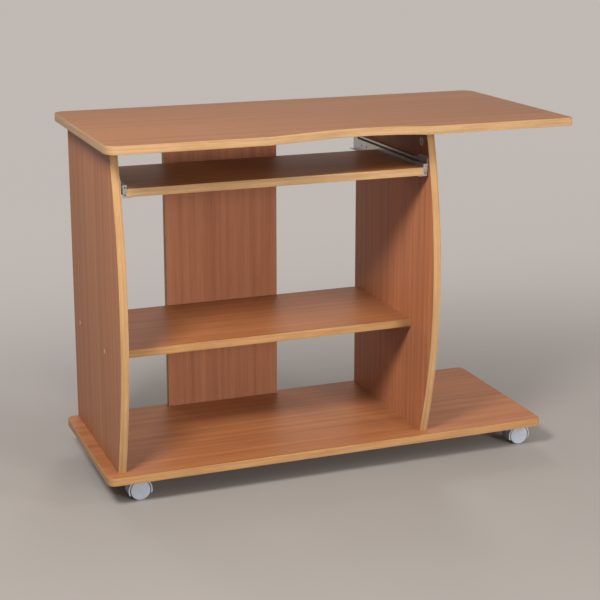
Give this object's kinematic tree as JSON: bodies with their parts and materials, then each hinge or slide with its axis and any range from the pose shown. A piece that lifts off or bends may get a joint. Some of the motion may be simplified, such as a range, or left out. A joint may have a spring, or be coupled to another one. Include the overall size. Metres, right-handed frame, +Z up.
{
  "type": "computer table",
  "caption": "Computer table on castors: desktop with a recessed front edge and a wing on bowed side panels, with back board, shelf and a keyboard tray that slides out on roller slides.",
  "frame": {"origin": "on the floor, under the middle of the desktop", "axes": "+X to the right along the desktop's long side, +Y to the back, +Z up; the front with the recess and the keyboard tray faces -Y"},
  "size_m": [0.95, 0.4605, 0.724],
  "materials": {
    "beech_board": "satin beech-effect melamine",
    "edge_band": "satin beech-effect edge band",
    "rail_steel": "zinc plated",
    "roller_plastic": "smooth",
    "fastener_steel": "zinc plated",
    "dowel_wood": "plain",
    "cap_plastic": "plain",
    "castor_plastic": "smooth moulded"
  },
  "bodies": {
    "table": {"desktop": "beech_board", "desktop_edge_band": "edge_band", "base_board": "beech_board", "base_edge_band": "edge_band", "side_panel_left": "beech_board", "side_panel_left_edge_band": "edge_band", "side_panel_right": "beech_board", "side_panel_right_edge_band": "edge_band", "back_panel": "beech_board", "back_panel_edge_band": "edge_band", "middle_shelf": "beech_board", "middle_shelf_edge_band": "edge_band", "cabinet_rail_left": "rail_steel", "cabinet_rail_right": "rail_steel", "front_roller_pins": "rail_steel", "cabinet_rail_screws": "fastener_steel", "cam_locks": "fastener_steel", "cam_bolts": "fastener_steel", "dowels": "dowel_wood", "board_screws": "fastener_steel", "screw_caps": "cap_plastic", "castor_plates": "fastener_steel", "castor_screws": "fastener_steel", "castor_swivel_pins": "fastener_steel"},
    "tray": {"keyboard_tray": "beech_board", "keyboard_tray_edge_band": "edge_band", "tray_rail_left": "rail_steel", "tray_rail_right": "rail_steel", "rear_roller_pins": "rail_steel", "tray_rail_screws": "fastener_steel"},
    "front_roller_left": {"front_roller_left": "roller_plastic"},
    "rear_roller_left": {"rear_roller_left": "roller_plastic"},
    "front_roller_right": {"front_roller_right": "roller_plastic"},
    "rear_roller_right": {"rear_roller_right": "roller_plastic"},
    "castor_front_left": {"castor_front_left_hood": "castor_plastic", "castor_front_left_axle": "fastener_steel"},
    "castor_front_left_wheel_front": {"castor_front_left_wheel_front": "castor_plastic"},
    "castor_front_left_wheel_back": {"castor_front_left_wheel_back": "castor_plastic"},
    "castor_front_right": {"castor_front_right_hood": "castor_plastic", "castor_front_right_axle": "fastener_steel"},
    "castor_front_right_wheel_front": {"castor_front_right_wheel_front": "castor_plastic"},
    "castor_front_right_wheel_back": {"castor_front_right_wheel_back": "castor_plastic"},
    "castor_back_left": {"castor_back_left_hood": "castor_plastic", "castor_back_left_axle": "fastener_steel"},
    "castor_back_left_wheel_front": {"castor_back_left_wheel_front": "castor_plastic"},
    "castor_back_left_wheel_back": {"castor_back_left_wheel_back": "castor_plastic"},
    "castor_back_right": {"castor_back_right_hood": "castor_plastic", "castor_back_right_axle": "fastener_steel"},
    "castor_back_right_wheel_front": {"castor_back_right_wheel_front": "castor_plastic"},
    "castor_back_right_wheel_back": {"castor_back_right_wheel_back": "castor_plastic"}
  },
  "joints": [
    {"name": "tray_slide", "type": "slide", "parent": "table", "child": "tray", "axis": [0, -1, 0], "range_m": [0, 0.25]},
    {"name": "front_roller_left_spin", "type": "hinge", "parent": "table", "child": "front_roller_left", "pos_m": [-0.422, -0.12296, 0.6253], "axis": [1, 0, 0], "continuous": true},
    {"name": "rear_roller_left_spin", "type": "hinge", "parent": "tray", "child": "rear_roller_left", "pos_m": [-0.422, 0.20304, 0.6326], "axis": [1, 0, 0], "continuous": true},
    {"name": "front_roller_right_spin", "type": "hinge", "parent": "table", "child": "front_roller_right", "pos_m": [0.192, -0.12296, 0.6253], "axis": [1, 0, 0], "continuous": true},
    {"name": "rear_roller_right_spin", "type": "hinge", "parent": "tray", "child": "rear_roller_right", "pos_m": [0.192, 0.20304, 0.6326], "axis": [1, 0, 0], "continuous": true},
    {"name": "castor_front_left_swivel", "type": "hinge", "parent": "table", "child": "castor_front_left", "pos_m": [-0.418, -0.095, 0.04], "axis": [0, 0, 1], "continuous": true},
    {"name": "castor_front_left_wheel_front_spin", "type": "hinge", "parent": "castor_front_left", "child": "castor_front_left_wheel_front", "pos_m": [-0.399, -0.095, 0.02], "axis": [0, 1, 0], "continuous": true},
    {"name": "castor_front_left_wheel_back_spin", "type": "hinge", "parent": "castor_front_left", "child": "castor_front_left_wheel_back", "pos_m": [-0.399, -0.095, 0.02], "axis": [0, 1, 0], "continuous": true},
    {"name": "castor_front_right_swivel", "type": "hinge", "parent": "table", "child": "castor_front_right", "pos_m": [0.423, -0.095, 0.04], "axis": [0, 0, 1], "continuous": true},
    {"name": "castor_front_right_wheel_front_spin", "type": "hinge", "parent": "castor_front_right", "child": "castor_front_right_wheel_front", "pos_m": [0.442, -0.095, 0.02], "axis": [0, 1, 0], "continuous": true},
    {"name": "castor_front_right_wheel_back_spin", "type": "hinge", "parent": "castor_front_right", "child": "castor_front_right_wheel_back", "pos_m": [0.442, -0.095, 0.02], "axis": [0, 1, 0], "continuous": true},
    {"name": "castor_back_left_swivel", "type": "hinge", "parent": "table", "child": "castor_back_left", "pos_m": [-0.418, 0.18, 0.04], "axis": [0, 0, 1], "continuous": true},
    {"name": "castor_back_left_wheel_front_spin", "type": "hinge", "parent": "castor_back_left", "child": "castor_back_left_wheel_front", "pos_m": [-0.399, 0.18, 0.02], "axis": [0, 1, 0], "continuous": true},
    {"name": "castor_back_left_wheel_back_spin", "type": "hinge", "parent": "castor_back_left", "child": "castor_back_left_wheel_back", "pos_m": [-0.399, 0.18, 0.02], "axis": [0, 1, 0], "continuous": true},
    {"name": "castor_back_right_swivel", "type": "hinge", "parent": "table", "child": "castor_back_right", "pos_m": [0.423, 0.18, 0.04], "axis": [0, 0, 1], "continuous": true},
    {"name": "castor_back_right_wheel_front_spin", "type": "hinge", "parent": "castor_back_right", "child": "castor_back_right_wheel_front", "pos_m": [0.442, 0.18, 0.02], "axis": [0, 1, 0], "continuous": true},
    {"name": "castor_back_right_wheel_back_spin", "type": "hinge", "parent": "castor_back_right", "child": "castor_back_right_wheel_back", "pos_m": [0.442, 0.18, 0.02], "axis": [0, 1, 0], "continuous": true}
  ],
  "couplings": [
    {"joint": "front_roller_left_spin", "follows": "tray_slide", "rad_per_m": 121.95},
    {"joint": "rear_roller_left_spin", "follows": "tray_slide", "rad_per_m": 121.95},
    {"joint": "front_roller_right_spin", "follows": "tray_slide", "rad_per_m": 121.95},
    {"joint": "rear_roller_right_spin", "follows": "tray_slide", "rad_per_m": 121.95}
  ]
}
